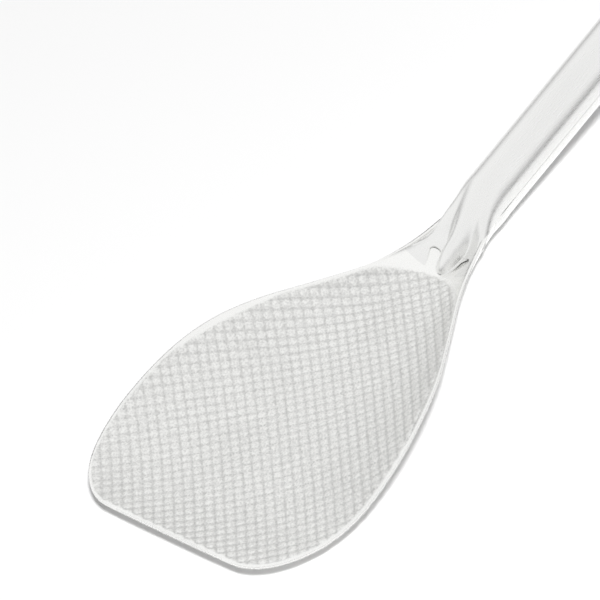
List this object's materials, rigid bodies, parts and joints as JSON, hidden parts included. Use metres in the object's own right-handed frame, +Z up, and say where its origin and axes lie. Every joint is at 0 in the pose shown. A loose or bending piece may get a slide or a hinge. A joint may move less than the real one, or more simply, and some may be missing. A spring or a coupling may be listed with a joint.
{
  "type": "wide spatula",
  "caption": "Wide stainless-steel spatula with a dished, bump-embossed scoop blade, a tongued neck and a round hollow handle with a hanging hole.",
  "frame": {"origin": "on the resting surface, under the middle of the spatula's length and width", "axes": "+X along the spatula to the blade's front edge, +Y across the blade, +Z up out of the blade's hollow"},
  "size_m": [0.2886, 0.0906, 0.0318],
  "materials": {
    "blade_steel": "satin, embossed with fine dots",
    "handle_steel": "satin polished",
    "sleeve_steel": "polished"
  },
  "bodies": {
    "root": {"blade": "blade_steel", "handle_upper_shell": "handle_steel", "handle_lower_shell": "handle_steel", "hanging_sleeve": "sleeve_steel"}
  },
  "joints": []
}
